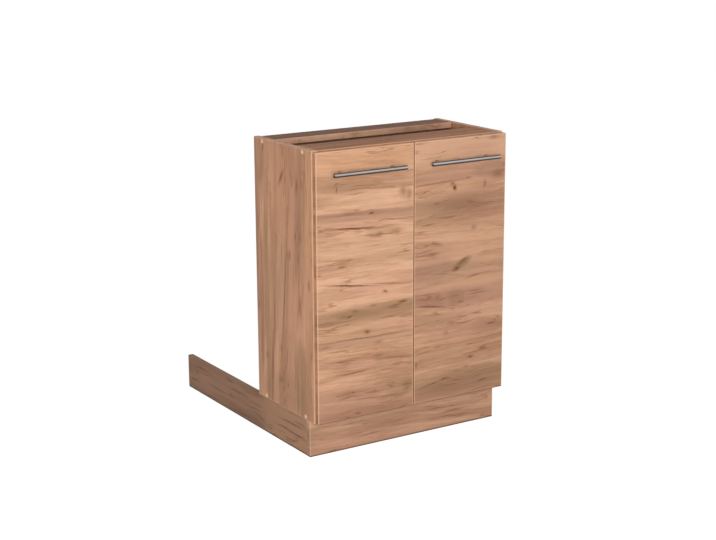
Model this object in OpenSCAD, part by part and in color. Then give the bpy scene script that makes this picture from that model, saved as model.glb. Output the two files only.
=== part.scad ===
// Island base cabinet: open top for a worktop, two overlay doors on concealed hinges,
// plinth boards and adjustable legs
// X runs along the width from the middle, Y from the handles to the back, Z up from the floor.

/* [Carcass] */
// Width over both side panels
unit_w = 600; // [480:10:900]
// Height of the carcass, without the plinth
carcass_h = 720; // [600:10:800]
// Depth of the side panels
carcass_d = 300; // [290:5:560]
// Thickness of the carcass boards
board_t = 16; // [15:0.5:18]
// Chamfer on every board edge
edge_cut = 0.6; // [0.2:0.1:1]
// Depth of the front top rail
front_rail_d = 100; // [70:5:110]
// Depth of the rear top rail
rear_rail_d = 75; // [60:5:110]
// Thickness of the back panel
back_t = 3; // [2.5:0.1:4]
// Board left behind the back panel's groove
back_inset = 8; // [6:1:15]
// Depth of the groove for the back panel
groove_deep = 8; // [5:1:9]
// Play between the back panel and its groove
groove_play = 0.2; // [0.1:0.05:0.4]
// Distance of the back panel's top edge below the carcass's top
back_drop = 2; // [0:0.5:10]

/* [Shelf] */
// Thickness of the shelf
shelf_t = 16; // [12:0.5:22]
// Height of the shelf's underside above the bottom panel
shelf_rise = 328; // [200:4:400]
// Distance of the shelf's front edge behind the carcass's front
shelf_setback = 22; // [10:1:60]
// Play at each end and behind the shelf
shelf_play = 1; // [0.5:0.1:2]
// Diameter of the shelf pins
shelf_pin_d = 5; // [4:0.5:6]
// Pitch of the shelf pin holes
pin_pitch = 32; // [20:1:40]
// Shelf pin holes above and below the middle one
pin_steps = 2; // [1:1:3]
// Distance of the front row of pin holes behind the carcass's front
pin_front = 60; // [50:1:80]
// Distance of the rear row of pin holes before the back panel
pin_rear = 45; // [30:1:60]

/* [Fixings] */
// Distance of the outer screws from the carcass's front and rear edges
screw_inset = 45; // [30:1:55]
// Distance from each screw to its dowel
dowel_offset = 27; // [20:1:30]
// Shank diameter of the carcass screws
screw_shank_d = 7; // [6:0.5:8]
// Thread diameter of the carcass screws
screw_thread_d = 5; // [4:0.5:5.5]
// Length of the carcass screws
screw_l = 50; // [40:5:60]
// Head diameter of the carcass screws
screw_head_d = 10; // [9:0.5:11]
// Width across the flats of the screw's hexagon socket
screw_socket = 4; // [3:0.5:5]
// Diameter of the cover caps over the screw heads
cap_d = 12; // [10.5:0.5:15]
// Height that a cover cap stands proud
cap_proud = 0.8; // [0.5:0.1:1.5]
// Diameter of the wooden dowels
dowel_d = 8; // [6:0.5:8]
// Length of the wooden dowels
dowel_l = 32; // [25:1:40]
// Depth of the dowel holes in the side panels
dowel_deep = 11; // [8:0.5:12]
// Radial play round shanks, dowels and pins in their holes
hole_play = 0.1; // [0.05:0.05:0.2]
// Diameter of the worktop screw holes in the rails
worktop_hole_d = 5; // [4:0.5:6]
// Distance of the worktop screw holes from the side panels
worktop_hole_inset = 84; // [40:1:120]

/* [Doors] */
// Thickness of the doors
door_t = 16; // [16:0.5:22]
// Gap between the doors' backs and the carcass
door_space = 2; // [2:0.1:3]
// Distance of each door's outer edge inside the unit's side
side_reveal = 1.5; // [1:0.1:2]
// Gap between the two doors
middle_gap = 3; // [2:0.5:4]
// Distance of the doors' top edge below the carcass's top
top_reveal = 3; // [2:0.5:6]
// Height of the doors' bottom edge above the carcass's underside
bottom_reveal = 2; // [0:0.5:6]
// Diameter of the door bumpers
bumper_d = 8; // [6:0.5:10]
// Gap left between a bumper and the carcass
bumper_gap = 0.3; // [0.2:0.05:0.5]

/* [Handles] */
// Overall length of a handle bar
handle_l = 220; // [190:5:260]
// Diameter of a handle bar
handle_bar_d = 12; // [10:0.5:14]
// Distance from the door's face to the bar's axis
handle_stand = 26; // [22:1:40]
// Distance between a handle's two screws
handle_pitch = 160; // [96:32:160]
// Distance of the handle's axis below the door's top edge
handle_drop = 57; // [40:1:120]
// Diameter of a handle post
handle_post_d = 10; // [8:0.5:12]
// Diameter of the handle screws
handle_screw_d = 4; // [3:0.5:5]

/* [Hinges] */
// Distance of each hinge's middle from the door's top or bottom edge
hinge_end = 100; // [80:1:140]
// Diameter of a hinge cup
cup_d = 35; // [35:0.5:36]
// Distance of the cup's middle from the door's outer edge
cup_edge = 22.5; // [22.5:0.5:24]
// Depth of a hinge cup
cup_deep = 11.5; // [11.2:0.1:12]
// Distance between a cup's two screws
cup_screw_pitch = 45; // [44:0.5:52]
// Diameter of the cup screws
cup_screw_d = 3.5; // [3:0.5:4]
// Length of the cup screws
cup_screw_l = 12.5; // [10:0.5:13]
// Distance of the plate's screws behind the carcass's front
plate_y = 37; // [37:0.5:42]
// Distance between a plate's two screws
plate_pitch = 32; // [28:1:40]
// Diameter of the plate screws
plate_screw_d = 5; // [4:0.5:6]
// Length of the plate screws under their heads
plate_screw_l = 13; // [10:0.5:14]
// Thickness of the mounting plate's wings
plate_t = 2; // [1.5:0.1:3]

/* [Plinth] */
// Height of the plinth boards and of the legs
plinth_h = 100; // [90:5:150]
// Thickness of the plinth boards
plinth_t = 16; // [12:0.5:19]
// Gap between the plinth boards' tops and the carcass
plinth_drop = 0.5; // [0:0.1:3]
// Distance of the front plinth's face behind the carcass's front
plinth_setback = 25; // [15:1:45]
// Length of the side plinth, which runs on behind the cabinet
side_plinth_l = 704; // [300:1:900]
// Width of a clip's plate on the plinth board
clip_w = 16; // [14:1:20]
// Height of a clip's plate on the plinth board
clip_h = 28; // [26:1:32]
// Length of each wing of the corner bracket
bracket_wing = 22; // [16:1:24]
// Height of the corner bracket
bracket_h = 50; // [30:1:70]
// Thickness of the corner bracket
bracket_t = 2; // [1.5:0.1:3]

/* [Legs] */
// Diameter of the flange's screws
leg_screw_d = 4; // [3.5:0.5:5]
// Length of the flange's screws
leg_screw_l = 15; // [12:1:16]
// Distance of a leg's axis from the plinth boards beside it
leg_space = 34; // [32:1:50]
// Distance of the rear legs' axis before the carcass's rear edge
leg_rear = 50; // [40:1:80]
// Diameter of a leg's tube
leg_tube_d = 32; // [26:1:36]
// Wall of a leg's tube
leg_wall = 2.5; // [2:0.1:4]
// Diameter of a leg's top flange
leg_flange_d = 60; // [54:1:62]
// Thickness of a leg's top flange
leg_flange_t = 4; // [3:0.5:6]
// Diameter of a leg's foot
foot_d = 44; // [38:1:54]
// Thickness of a leg's foot
foot_t = 8; // [5:0.5:12]
// Distance that the foot can still be screwed in
foot_in = 5; // [3:1:10]
// Distance that the foot can be screwed out
foot_out = 20; // [10:1:30]

/* [Hidden] */
$fn = 48;

// Derived sizes
half_w = unit_w / 2;
inner_x = half_w - board_t;
z_low = plinth_h;
z_high = plinth_h + carcass_h;
back_y = carcass_d - back_inset - back_t;
door_back = -door_space;
door_front = door_back - door_t;
bar_y = door_front - handle_stand;
door_z0 = z_low + bottom_reveal;
door_z1 = z_high - top_reveal;
door_x0 = -half_w + side_reveal;
door_x1 = -middle_gap / 2;
plinth_back = plinth_setback + plinth_t;
plinth_top = plinth_h - plinth_drop;
leg_x = half_w - plinth_t - leg_space;
leg_front_y = plinth_back + leg_space;
leg_rear_y = carcass_d - leg_rear;
tube_z = foot_t + foot_in;
shelf_z = z_low + board_t + shelf_rise;
pin_z = shelf_z - shelf_pin_d / 2 + 0.4;
pin_rear_y = back_y - pin_rear;
screw_y = [screw_inset, carcass_d - screw_inset];
dowel_y = [screw_inset + dowel_offset, carcass_d - screw_inset - dowel_offset];
joint_z = [z_low + board_t / 2, z_high - board_t / 2];
middle_y = (bar_y - handle_bar_d / 2 + max(plinth_back + side_plinth_l, carcass_d)) / 2;
handle_x = (door_x0 + door_x1) / 2;
handle_z = door_z1 - handle_drop;
hinge_z = [door_z0 + hinge_end, door_z1 - hinge_end];
cup_x = door_x0 + cup_edge;
cup_screw_x = 9.5;
cup_screw_z = cup_screw_pitch / 2;
plate_hole_z = plate_pitch / 2;
pin_r = 0.9;
link_r = 1.5;
pin_a = [9, 24.7];
pin_b = [-13.85, -4.5];
pin_c = [5.4, -6];
pin_d = [-9.6, -8.15];
bend_ab = [-7.8, -7.5];
bend_cd = [2.5, -8.4];
arm_web = 12;
arm_rear = 68;
inner_plinth = half_w - plinth_t;
bracket_z = plinth_h / 2;
clip_z1 = 38;
clip_z2 = 70;
clip_screw = clip_h / 2 - 4;
leg_spots = [[-leg_x, leg_front_y], [leg_x, leg_front_y], [-leg_x, leg_rear_y], [leg_x, leg_rear_y]];
flange_screw_r = leg_tube_d / 2 + 6;
stem_r = leg_tube_d / 2 - leg_wall - 0.08;
stem_top = tube_z + foot_out + 20;

// The frame: origin on the floor, in the middle of the width and of the whole depth
module place() { translate([0, -middle_y, 0]) children(); }
module both() { children(); mirror([1, 0, 0]) children(); }

// Rectangle with its corners cut
module cut_corners(a, b, c) {
    polygon([[c, 0], [a - c, 0], [a, c], [a, b - c], [a - c, b], [c, b], [0, b - c], [0, c]]);
}

// Board with every edge chamfered
module board(x0, x1, y0, y1, z0, z1, c = edge_cut) {
    intersection() {
        translate([x0, y0, z0]) linear_extrude(z1 - z0) cut_corners(x1 - x0, y1 - y0, c);
        translate([x0, y1, z0]) rotate([90, 0, 0]) linear_extrude(y1 - y0) cut_corners(x1 - x0, z1 - z0, c);
        translate([x0, y0, z0]) rotate([90, 0, 90]) linear_extrude(x1 - x0)
            cut_corners(y1 - y0, z1 - z0, c);
    }
}

// Round pieces along an axis; the start is at p
module along_x(p) { translate(p) rotate([0, 90, 0]) children(); }
module along_y(p) { translate(p) rotate([-90, 0, 0]) children(); }
module rod(d, l, c = 0.3) {
    rotate_extrude() polygon([[0, 0], [d / 2 - c, 0], [d / 2, c], [d / 2, l - c], [d / 2 - c, l], [0, l]]);
}

// Carcass screw along +Z from its head, grown by g
module screw_shape(g = 0) {
    h = screw_head_d / 2 + g;
    s = screw_shank_d / 2 + g;
    t = screw_thread_d / 2 + g;
    rotate_extrude() polygon([
        [0, 0], [h, 0], [h, 0.6], [s, 0.6 + h - s], [s, board_t - 0.6 + g], [t, board_t + g],
        [t, screw_l - 3 + g], [1, screw_l + g * 4], [0, screw_l + g * 4]
    ]);
}

// Cross recess in a screw's head
module cross_slot(l, w, h) {
    for (a = [0, 90]) rotate([0, 0, a]) translate([-l / 2, -w / 2, 0]) cube([l, w, h]);
}

// Countersunk wood screw along +Z from its flush head
module wood_screw(d, l, head) {
    difference() {
        rotate_extrude() polygon([
            [0, 0], [head / 2, 0], [head / 2, 0.3], [d / 2, 0.3 + (head - d) / 2],
            [d / 2, l - d], [0.4, l], [0, l]
        ]);
        translate([0, 0, -0.01]) cross_slot(head * 0.52, 0.8, 1);
    }
}
// Countersunk seat for that screw
module screw_seat(d, l, head) {
    rotate_extrude() polygon([
        [0, -0.01], [head / 2 + hole_play, -0.01], [head / 2 + hole_play, 0.3],
        [d / 2 + hole_play, 0.3 + (head - d) / 2], [d / 2 + hole_play, l + 1], [0, l + 1]
    ]);
}

// Left side panel; the right one is its mirror image
module side_panel() {
    difference() {
        board(-half_w, -inner_x, 0, carcass_d, z_low, z_high);
        for (y = screw_y, z = joint_z) along_x([-half_w - 0.001, y, z]) screw_shape(hole_play);
        for (y = dowel_y, z = joint_z)
            along_x([-inner_x - dowel_deep, y, z])
                cylinder(d = dowel_d + 2 * hole_play, h = dowel_deep + 1);
        for (y = [pin_front, pin_rear_y], k = [-pin_steps:pin_steps])
            along_x([-inner_x - 10, y, pin_z + k * pin_pitch])
                cylinder(d = shelf_pin_d + 2 * hole_play, h = 11);
        for (z = hinge_z, s = [-1, 1])
            along_x([-inner_x - plate_screw_l + plate_t - 1, plate_y, z + s * plate_hole_z])
                cylinder(d = plate_screw_d + 2 * hole_play, h = plate_screw_l + 2);
        translate([-inner_x - groove_deep, back_y - groove_play / 2, z_low - 1])
            cube([groove_deep + 1, back_t + groove_play, carcass_h + 2]);
    }
}

module side_panel_left() { color("BurlyWood") place() side_panel(); }
module side_panel_right() { color("BurlyWood") place() mirror([1, 0, 0]) side_panel(); }

// Holes in the end of a lying board for a screw and for a dowel
module end_holes(z, ys, yd) {
    both() {
        along_x([-half_w, ys, z]) screw_shape(hole_play);
        along_x([-inner_x - 1, yd, z]) cylinder(d = dowel_d + 2 * hole_play, h = dowel_l - dowel_deep + 2);
    }
}

module bottom_panel() {
    color("BurlyWood") place() difference() {
        board(-inner_x, inner_x, 0, carcass_d, z_low, z_low + board_t);
        for (i = [0, 1]) end_holes(joint_z[0], screw_y[i], dowel_y[i]);
        translate([-half_w, back_y - groove_play / 2, z_low + board_t - groove_deep])
            cube([unit_w, back_t + groove_play, groove_deep + 1]);
        for (p = leg_spots, a = [45:90:315])
            translate([p[0], p[1], z_low - 1]) rotate([0, 0, a]) translate([flange_screw_r, 0, 0])
                cylinder(d = leg_screw_d + 2 * hole_play, h = leg_screw_l - leg_flange_t + 2);
    }
}

module top_rail(y0, y1, i) {
    difference() {
        board(-inner_x, inner_x, y0, y1, z_high - board_t, z_high);
        end_holes(joint_z[1], screw_y[i], dowel_y[i]);
        both() translate([-inner_x + worktop_hole_inset, (y0 + y1) / 2, z_high - board_t - 1])
            cylinder(d = worktop_hole_d, h = board_t + 2);
    }
}
module top_rail_front() { color("BurlyWood") place() top_rail(0, front_rail_d, 0); }
module top_rail_rear() { color("BurlyWood") place() top_rail(back_y - rear_rail_d, back_y, 1); }

module back_panel() {
    color("Tan") place() board(-inner_x - groove_deep + 0.5, inner_x + groove_deep - 0.5,
        back_y, back_y + back_t,
        z_low + board_t - groove_deep + 0.5, z_high - back_drop, 0.3);
}

module shelf() {
    color("BurlyWood") place() board(-inner_x + shelf_play, inner_x - shelf_play, shelf_setback,
        back_y - shelf_play, shelf_z, shelf_z + shelf_t);
}

// Four pins with a collar and a flat top under the shelf
module shelf_pins() {
    color("Silver") place() both() for (y = [pin_front, pin_rear_y])
        difference() {
            union() {
                along_x([-inner_x - 8, y, pin_z]) rod(shelf_pin_d, 16);
                along_x([-inner_x, y, pin_z]) cylinder(d = shelf_pin_d + 2, h = shelf_play * 0.6);
            }
            translate([-inner_x, y - 5, shelf_z]) cube([12, 10, 5]);
        }
}

module dowels() {
    color("Wheat") place() both() for (y = dowel_y, z = joint_z)
        along_x([-inner_x - dowel_deep + 0.5, y, z]) rod(dowel_d, dowel_l, 1);
}

module carcass_screws() {
    color("Silver") place() both() for (y = screw_y, z = joint_z)
        along_x([-half_w, y, z]) difference() {
            screw_shape();
            translate([0, 0, -1]) cylinder(d = screw_socket / cos(30), h = 4, $fn = 6);
        }
}

// Cover caps with a plug in the screw's socket
module screw_caps() {
    color("NavajoWhite") place() both() for (y = screw_y, z = joint_z)
        along_x([-half_w - cap_proud, y, z]) rotate_extrude() polygon([
            [0, 0], [cap_d / 2 - 0.5, 0], [cap_d / 2, 0.4], [cap_d / 2, cap_proud],
            [screw_socket / 2 - 0.2, cap_proud], [screw_socket / 2 - 0.2, cap_proud + 2], [0, cap_proud + 2]
        ]);
}

// Plinth boards, their corner bracket and the clips on the legs
module bracket_holes(r, l) {
    for (z = [-1, 1]) {
        z1 = bracket_z + z * bracket_h * 0.28;
        along_y([-inner_plinth + bracket_wing * 0.62, plinth_back - l, z1])
            cylinder(r = r, h = l + bracket_t + 1);
        along_x([-inner_plinth - l, plinth_back + bracket_wing * 0.62, z1])
            cylinder(r = r, h = l + bracket_t + 1);
    }
}
module clip_holes(r, l) {
    for (s = [-1, 1]) {
        both() along_y([-leg_x, plinth_back - l, clip_z1 + s * clip_screw]) cylinder(r = r, h = l + 3);
        for (y = [leg_front_y, leg_rear_y])
            along_x([-inner_plinth - l, y, clip_z2 + s * clip_screw]) cylinder(r = r, h = l + 3);
    }
}
module front_plinth() {
    color("BurlyWood") place() difference() {
        board(-half_w, half_w, plinth_setback, plinth_back, 0, plinth_top);
        bracket_holes(1.6, 10);
        clip_holes(1.6, 10);
    }
}
module side_plinth() {
    color("BurlyWood") place() difference() {
        board(-half_w, -inner_plinth, plinth_back, plinth_back + side_plinth_l, 0, plinth_top);
        bracket_holes(1.6, 10);
        clip_holes(1.6, 10);
    }
}
module plinth_corner_bracket() {
    color("Silver") place() difference() {
        translate([-inner_plinth, plinth_back, bracket_z - bracket_h / 2]) linear_extrude(bracket_h)
            polygon([[0, 0], [bracket_wing, 0], [bracket_wing, bracket_t], [bracket_t, bracket_t],
                [bracket_t, bracket_wing], [0, bracket_wing]]);
        bracket_holes(1.8, 10);
    }
}
module plinth_screws() {
    color("Silver") place() {
        for (z = [-1, 1]) {
            z1 = bracket_z + z * bracket_h * 0.28;
            along_y([-inner_plinth + bracket_wing * 0.62, plinth_back - 9, z1]) pan_screw(9 + bracket_t);
            along_x([-inner_plinth - 9, plinth_back + bracket_wing * 0.62, z1]) pan_screw(9 + bracket_t);
        }
        for (s = [-1, 1]) {
            both() along_y([-leg_x, plinth_back - 9, clip_z1 + s * clip_screw]) pan_screw(11);
            for (y = [leg_front_y, leg_rear_y])
                along_x([-inner_plinth - 9, y, clip_z2 + s * clip_screw]) pan_screw(11);
        }
    }
}
// Pan head screw along +Z, its tip at the start and its head seated at l
module pan_screw(l) {
    difference() {
        rotate_extrude() polygon([
            [0, 0], [0.4, 0], [1.5, 2], [1.5, l], [3, l], [3, l + 1], [2.2, l + 1.8], [0, l + 1.8]
        ]);
        translate([0, 0, l + 1]) cross_slot(3.2, 0.7, 1);
    }
}

// One clip: an open ring round a leg, a web and a plate against the plinth board on its +Y side
module clip(z, reach) {
    difference() {
        union() {
            translate([0, 0, z - 6]) cylinder(d = leg_tube_d + 5, h = 12);
            translate([-4, leg_tube_d / 2, z - 5]) cube([8, reach - leg_tube_d / 2, 10]);
            translate([-clip_w / 2, reach - 2, z - clip_h / 2]) cube([clip_w, 2, clip_h]);
        }
        translate([0, 0, z - 7]) cylinder(d = leg_tube_d + 0.2, h = 14);
        translate([-leg_tube_d * 0.36, -leg_tube_d, z - 7]) cube([leg_tube_d * 0.72, leg_tube_d, 14]);
        for (s = [-1, 1]) along_y([0, reach - 3, z + s * clip_screw]) cylinder(r = 1.7, h = 4);
    }
}
module plinth_clips() {
    color("WhiteSmoke") place() {
        both() translate([-leg_x, leg_front_y, 0]) rotate([0, 0, 180]) clip(clip_z1, leg_space);
        for (y = [leg_front_y, leg_rear_y])
            translate([-leg_x, y, 0]) rotate([0, 0, 90]) clip(clip_z2, leg_space);
    }
}

// Legs
module leg_flanges() {
    color("DimGray") place() for (p = leg_spots) translate([p[0], p[1], z_low - leg_flange_t])
    difference() {
        cylinder(d1 = leg_flange_d - 2, d2 = leg_flange_d, h = leg_flange_t);
        translate([0, 0, -1]) cylinder(d = leg_tube_d - 2 * leg_wall, h = leg_flange_t - 1);
        for (a = [45:90:315]) rotate([0, 0, a]) translate([flange_screw_r, 0, 0]) 
            screw_seat(leg_screw_d, leg_screw_l, leg_screw_d * 1.75);
    }
}
module leg_tubes() {
    color("DimGray") place() for (p = leg_spots) translate([p[0], p[1], tube_z]) difference() {
        rod(leg_tube_d, z_low - leg_flange_t - tube_z, 0.8);
        translate([0, 0, -1]) cylinder(d = leg_tube_d - 2 * leg_wall, h = z_low);
    }
}
module leg_screws() {
    color("Silver") place() for (p = leg_spots, a = [45:90:315])
        translate([p[0], p[1], z_low - leg_flange_t]) rotate([0, 0, a]) translate([flange_screw_r, 0, 0])
            wood_screw(leg_screw_d, leg_screw_l, leg_screw_d * 1.75);
}
module foot(i) {
    color("Gray") place() translate(concat(leg_spots[i], 0)) {
        rotate_extrude() polygon([
            [0, 0], [foot_d / 2 - 1, 0], [foot_d / 2, 1],
            [foot_d / 2, foot_t - 3], [foot_d / 2 - 3, foot_t],
            [stem_r, foot_t], [stem_r, stem_top - 1], [stem_r - 1, stem_top], [0, stem_top]
        ]);
    }
}
module foot_front_left() { foot(0); }
module foot_front_right() { foot(1); }
module foot_rear_left() { foot(2); }
module foot_rear_right() { foot(3); }

// Left door with the holes for its cups, handle and screws; the right one is its mirror image
module door() {
    difference() {
        board(door_x0, door_x1, door_front, door_back, door_z0, door_z1);
        for (z = hinge_z) {
            along_y([cup_x, door_back - cup_deep - 0.3, z])
                cylinder(d = cup_d + 2 * hole_play, h = cup_deep + 1);
            for (s = [-1, 1])
                along_y([cup_x + cup_screw_x, door_back - cup_screw_l + 0.5, z + s * cup_screw_z])
                    cylinder(d = cup_screw_d + 2 * hole_play, h = cup_screw_l + 0.5);
        }
        for (s = [-1, 1]) along_y([handle_x + s * handle_pitch / 2, door_front - 1, handle_z])
            cylinder(d = handle_screw_d + 2 * hole_play, h = door_t + 2);
    }
}
module door_left() { color("BurlyWood") place() door(); }
module door_right() { color("BurlyWood") place() mirror([1, 0, 0]) door(); }

// Bar handle
module handle_bar() {
    along_x([handle_x - handle_l / 2, bar_y, handle_z]) rod(handle_bar_d, handle_l, 0.7);
}
module handle_posts() {
    for (s = [-1, 1]) difference() {
        along_y([handle_x + s * handle_pitch / 2, bar_y, handle_z])
            cylinder(d = handle_post_d, h = handle_stand);
        along_x([handle_x + s * handle_pitch / 2 - handle_post_d, bar_y, handle_z])
            cylinder(d = handle_bar_d, h = 2 * handle_post_d);
        along_y([handle_x + s * handle_pitch / 2, door_front - 12, handle_z])
            cylinder(d = handle_screw_d + 2 * hole_play, h = 13);
    }
}
module handle_screws() {
    l = door_t + 10;
    for (s = [-1, 1]) translate([handle_x + s * handle_pitch / 2, door_back, handle_z]) rotate([90, 0, 0])
        difference() {
            rotate_extrude() polygon([
                [0, -2.4], [2.6, -2.4], [4.2, -1.2], [4.2, 0], [handle_screw_d / 2, 0],
                [handle_screw_d / 2, l - 0.5], [handle_screw_d / 2 - 0.5, l], [0, l]
            ]);
            translate([0, 0, -2.5]) cross_slot(4, 0.9, 1.4);
        }
}
module handle_bar_left() { color("LightGray") place() handle_bar(); }
module handle_bar_right() { color("LightGray") place() mirror([1, 0, 0]) handle_bar(); }
module handle_posts_left() { color("LightGray") place() handle_posts(); }
module handle_posts_right() { color("LightGray") place() mirror([1, 0, 0]) handle_posts(); }
module handle_screws_left() { color("Silver") place() handle_screws(); }
module handle_screws_right() { color("Silver") place() mirror([1, 0, 0]) handle_screws(); }

// Soft bumpers at the door's free edge
module door_bumpers() {
    t = door_space - bumper_gap;
    for (z = joint_z) translate([door_x1 - bumper_d / 2 - 8, door_back, z]) rotate([-90, 0, 0])
        rotate_extrude() polygon([
            [0, 0], [bumper_d / 2, 0], [bumper_d / 2, t * 0.5], [bumper_d / 2 - t * 0.5, t], [0, t]
        ]);
}
module door_bumpers_left() { color("WhiteSmoke") place() door_bumpers(); }
module door_bumpers_right() { color("WhiteSmoke") place() mirror([1, 0, 0]) door_bumpers(); }

// Concealed hinges. Their points are measured from the middle of the cup's mouth:
// x towards the door's free edge, y to the back
module hinge_places() { for (z = hinge_z) translate([cup_x, door_back, z]) children(); }
// A bar with round ends through its points, between two heights on both sides of the hinge's middle
function heading(a, b) = atan2(b[1] - a[1], b[0] - a[0]);
function turned(a) = (a % 360 + 540) % 360 - 180;
function cap(p, h, r) = [for (a = [-90:15:90]) p + r * [cos(h + a), sin(h + a)]];
function bend(a, b, c, r) = let (h = heading(a, b), d = turned(heading(b, c) - h))
    b + r / cos(d / 2) * [sin(h + d / 2), -cos(h + d / 2)];
function bar(p, r) = let (n = len(p) - 1) concat(
    [for (i = [1:1:n - 1]) bend(p[i - 1], p[i], p[i + 1], r)], cap(p[n], heading(p[n - 1], p[n]), r),
    [for (i = [n - 1:-1:1]) bend(p[i + 1], p[i], p[i - 1], r)], cap(p[0], heading(p[1], p[0]), r));
module strap(p, r, z0, z1) {
    for (m = [0, 1]) mirror([0, 0, m]) translate([0, 0, z0]) linear_extrude(z1 - z0) polygon(bar(p, r));
}
module pin_at(p, r, z0, z1) {
    for (m = [0, 1]) mirror([0, 0, m]) translate([p[0], p[1], z0]) cylinder(r = r, h = z1 - z0);
}

module hinge_cups() {
    hinge_places() {
        difference() {
            union() {
                rotate([90, 0, 0]) cylinder(d = cup_d, h = cup_deep);
                rotate([-90, 0, 0]) cylinder(d = cup_d + 1.6, h = 0.4);
                translate([cup_screw_x - 5, 0, -cup_screw_z - 6]) cube([10, 1.2, 2 * cup_screw_z + 12]);
            }
            translate([0, 2, 0]) rotate([90, 0, 0]) cylinder(d = cup_d - 1.8, h = cup_deep + 2 - 0.9);
            for (s = [-1, 1]) translate([cup_screw_x, -1, s * cup_screw_z]) rotate([-90, 0, 0])
                cylinder(d = cup_screw_d + 2 * hole_play, h = 3);
        }
        // Ears for the long link's pins and lugs for the short link's pins
        intersection() {
            difference() {
                for (m = [0, 1]) mirror([0, 0, m]) {
                    translate([-cup_d / 2, 0, 5.6]) translate([0, 0.5 - cup_deep, 0])
                        linear_extrude(1.2)
                            polygon([[0, 0], [15, 0], [15, 3], [8, cup_deep - 1.5], [0, cup_deep - 1.5]]);
                    translate([pin_d[0] - 2.2, 0.5 - cup_deep, 2.8])
                        cube([4.4, pin_d[1] + cup_deep + 1.3, 0.9]);
                }
                pin_at(pin_b, pin_r + 0.005, 5, 8);
                pin_at(pin_d, pin_r + 0.005, 2, 4);
            }
            rotate([90, 0, 0]) cylinder(d = cup_d - 1, h = cup_deep - 0.3);
        }
    }
}
module hinge_cup_pins() {
    hinge_places() {
        pin_at(pin_b, pin_r, 4.1, 7.2);
        pin_at(pin_d, pin_r, 2.75, 3.95);
    }
}
module cup_screws() {
    for (z = hinge_z, s = [-1, 1]) translate([cup_x + cup_screw_x, door_back + 1.2, z + s * cup_screw_z])
        rotate([90, 0, 0]) difference() {
            rotate_extrude() polygon([
                [0, -1.2], [2.2, -1.2], [3.2, -0.5], [3.2, 0], [cup_screw_d / 2, 0],
                [cup_screw_d / 2, cup_screw_l - 2.5], [0.5, cup_screw_l], [0, cup_screw_l]
            ]);
            translate([0, 0, -1.3]) cross_slot(3.2, 0.7, 0.9);
        }
}
// Long link: two plates from the arm's rear pin to the ears
module long_links() {
    hinge_places() difference() {
        union() {
            strap([pin_a, bend_ab, pin_b], link_r, 4.1, 5.3);
            pin_at(pin_a, 2.4, 4.1, 5.3);
        }
        pin_at(pin_a, pin_r + 0.06, 3, 6);
        pin_at(pin_b, pin_r + 0.06, 3, 6);
    }
}
// Short link: one thick bar from the arm's nose to the lugs
module short_links() {
    hinge_places() difference() {
        translate([0, 0, -2.45]) linear_extrude(4.9) polygon(bar([pin_c, bend_cd, pin_d], link_r));
        pin_at(pin_c, pin_r + 0.06, -1, 3);
    }
}
module one_arm() {
    hinge_places() {
        difference() {
            union() {
                strap([pin_c, pin_c + [1.6, 6], pin_a + [0.6, -10], pin_a, [pin_a[0], arm_rear - 3]],
                    2.1, 2.75, 3.75);
                translate([arm_web - 5, pin_a[1] + 4, 2.75]) cube([5, arm_rear - pin_a[1] - 4, 1]);
                translate([arm_web - 5, pin_a[1] + 4, -3.75]) cube([5, arm_rear - pin_a[1] - 4, 1]);
                translate([arm_web - 1, pin_a[1] + 4, -3.75]) cube([1.2, arm_rear - pin_a[1] - 4, 7.5]);
            }
            pin_at(pin_a, pin_r + 0.005, 2, 5);
            pin_at(pin_c, pin_r + 0.005, 2, 5);
            for (y = [arm_rear - 5, arm_rear - 17]) translate([arm_web - 3, y, 0]) rotate([0, 90, 0])
                cylinder(d = 4.2, h = 6);
        }
    }
}
module one_arm_pins() {
    hinge_places() {
        translate([pin_a[0], pin_a[1], -5.4]) cylinder(r = pin_r, h = 10.8);
        translate([pin_c[0], pin_c[1], -3.9]) cylinder(r = pin_r, h = 7.8);
    }
}
// Mounting plate: two wings on the panel and a rib inside the arm
module one_plate() {
    for (z = hinge_z) difference() {
        union() {
            translate([-inner_x, plate_y - 6, z - plate_hole_z - 7])
                cube([plate_t, 12, 2 * plate_hole_z + 14]);
            translate([-inner_x, plate_y - 6, z - 2.65])
                cube([cup_x + arm_web - 1 + inner_x, door_back + arm_rear - plate_y + 6, 5.3]);
            translate([-inner_x, plate_y - 6, z - 9])
                cube([plate_t, door_back + arm_rear - plate_y + 8, 18]);
        }
        for (s = [-1, 1]) along_x([-inner_x - 1, plate_y, z + s * plate_hole_z])
            cylinder(d = plate_screw_d + 2 * hole_play, h = plate_t + 2);
        for (y = [arm_rear - 5, arm_rear - 17]) along_x([cup_x + arm_web - 9, door_back + y, z])
            cylinder(d = 4.2, h = 12);
    }
}
module one_plate_screws() {
    for (z = hinge_z) {
        for (s = [-1, 1]) translate([-inner_x + plate_t, plate_y, z + s * plate_hole_z]) rotate([0, -90, 0])
            difference() {
                rotate_extrude() polygon([
                    [0, -1.6], [3, -1.6], [4.2, -0.8], [4.2, 0], [plate_screw_d / 2, 0],
                    [plate_screw_d / 2, plate_screw_l - 0.5], [plate_screw_d / 2 - 0.5, plate_screw_l],
                    [0, plate_screw_l]
                ]);
                translate([0, 0, -1.7]) cross_slot(4, 0.8, 1.2);
            }
        for (y = [arm_rear - 5, arm_rear - 17]) translate([cup_x + arm_web + 0.2, door_back + y, z])
            rotate([0, -90, 0]) difference() {
                rotate_extrude()
                    polygon([[0, -1.5], [3.2, -1.5], [3.5, -1.2], [3.5, 0], [2, 0], [2, 8], [0, 8]]);
                translate([0, 0, -1.6]) cross_slot(3.6, 0.8, 1.1);
            }
    }
}
module hinge_cups_left() { color("Silver") place() hinge_cups(); }
module hinge_cups_right() { color("Silver") place() mirror([1, 0, 0]) hinge_cups(); }
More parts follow.
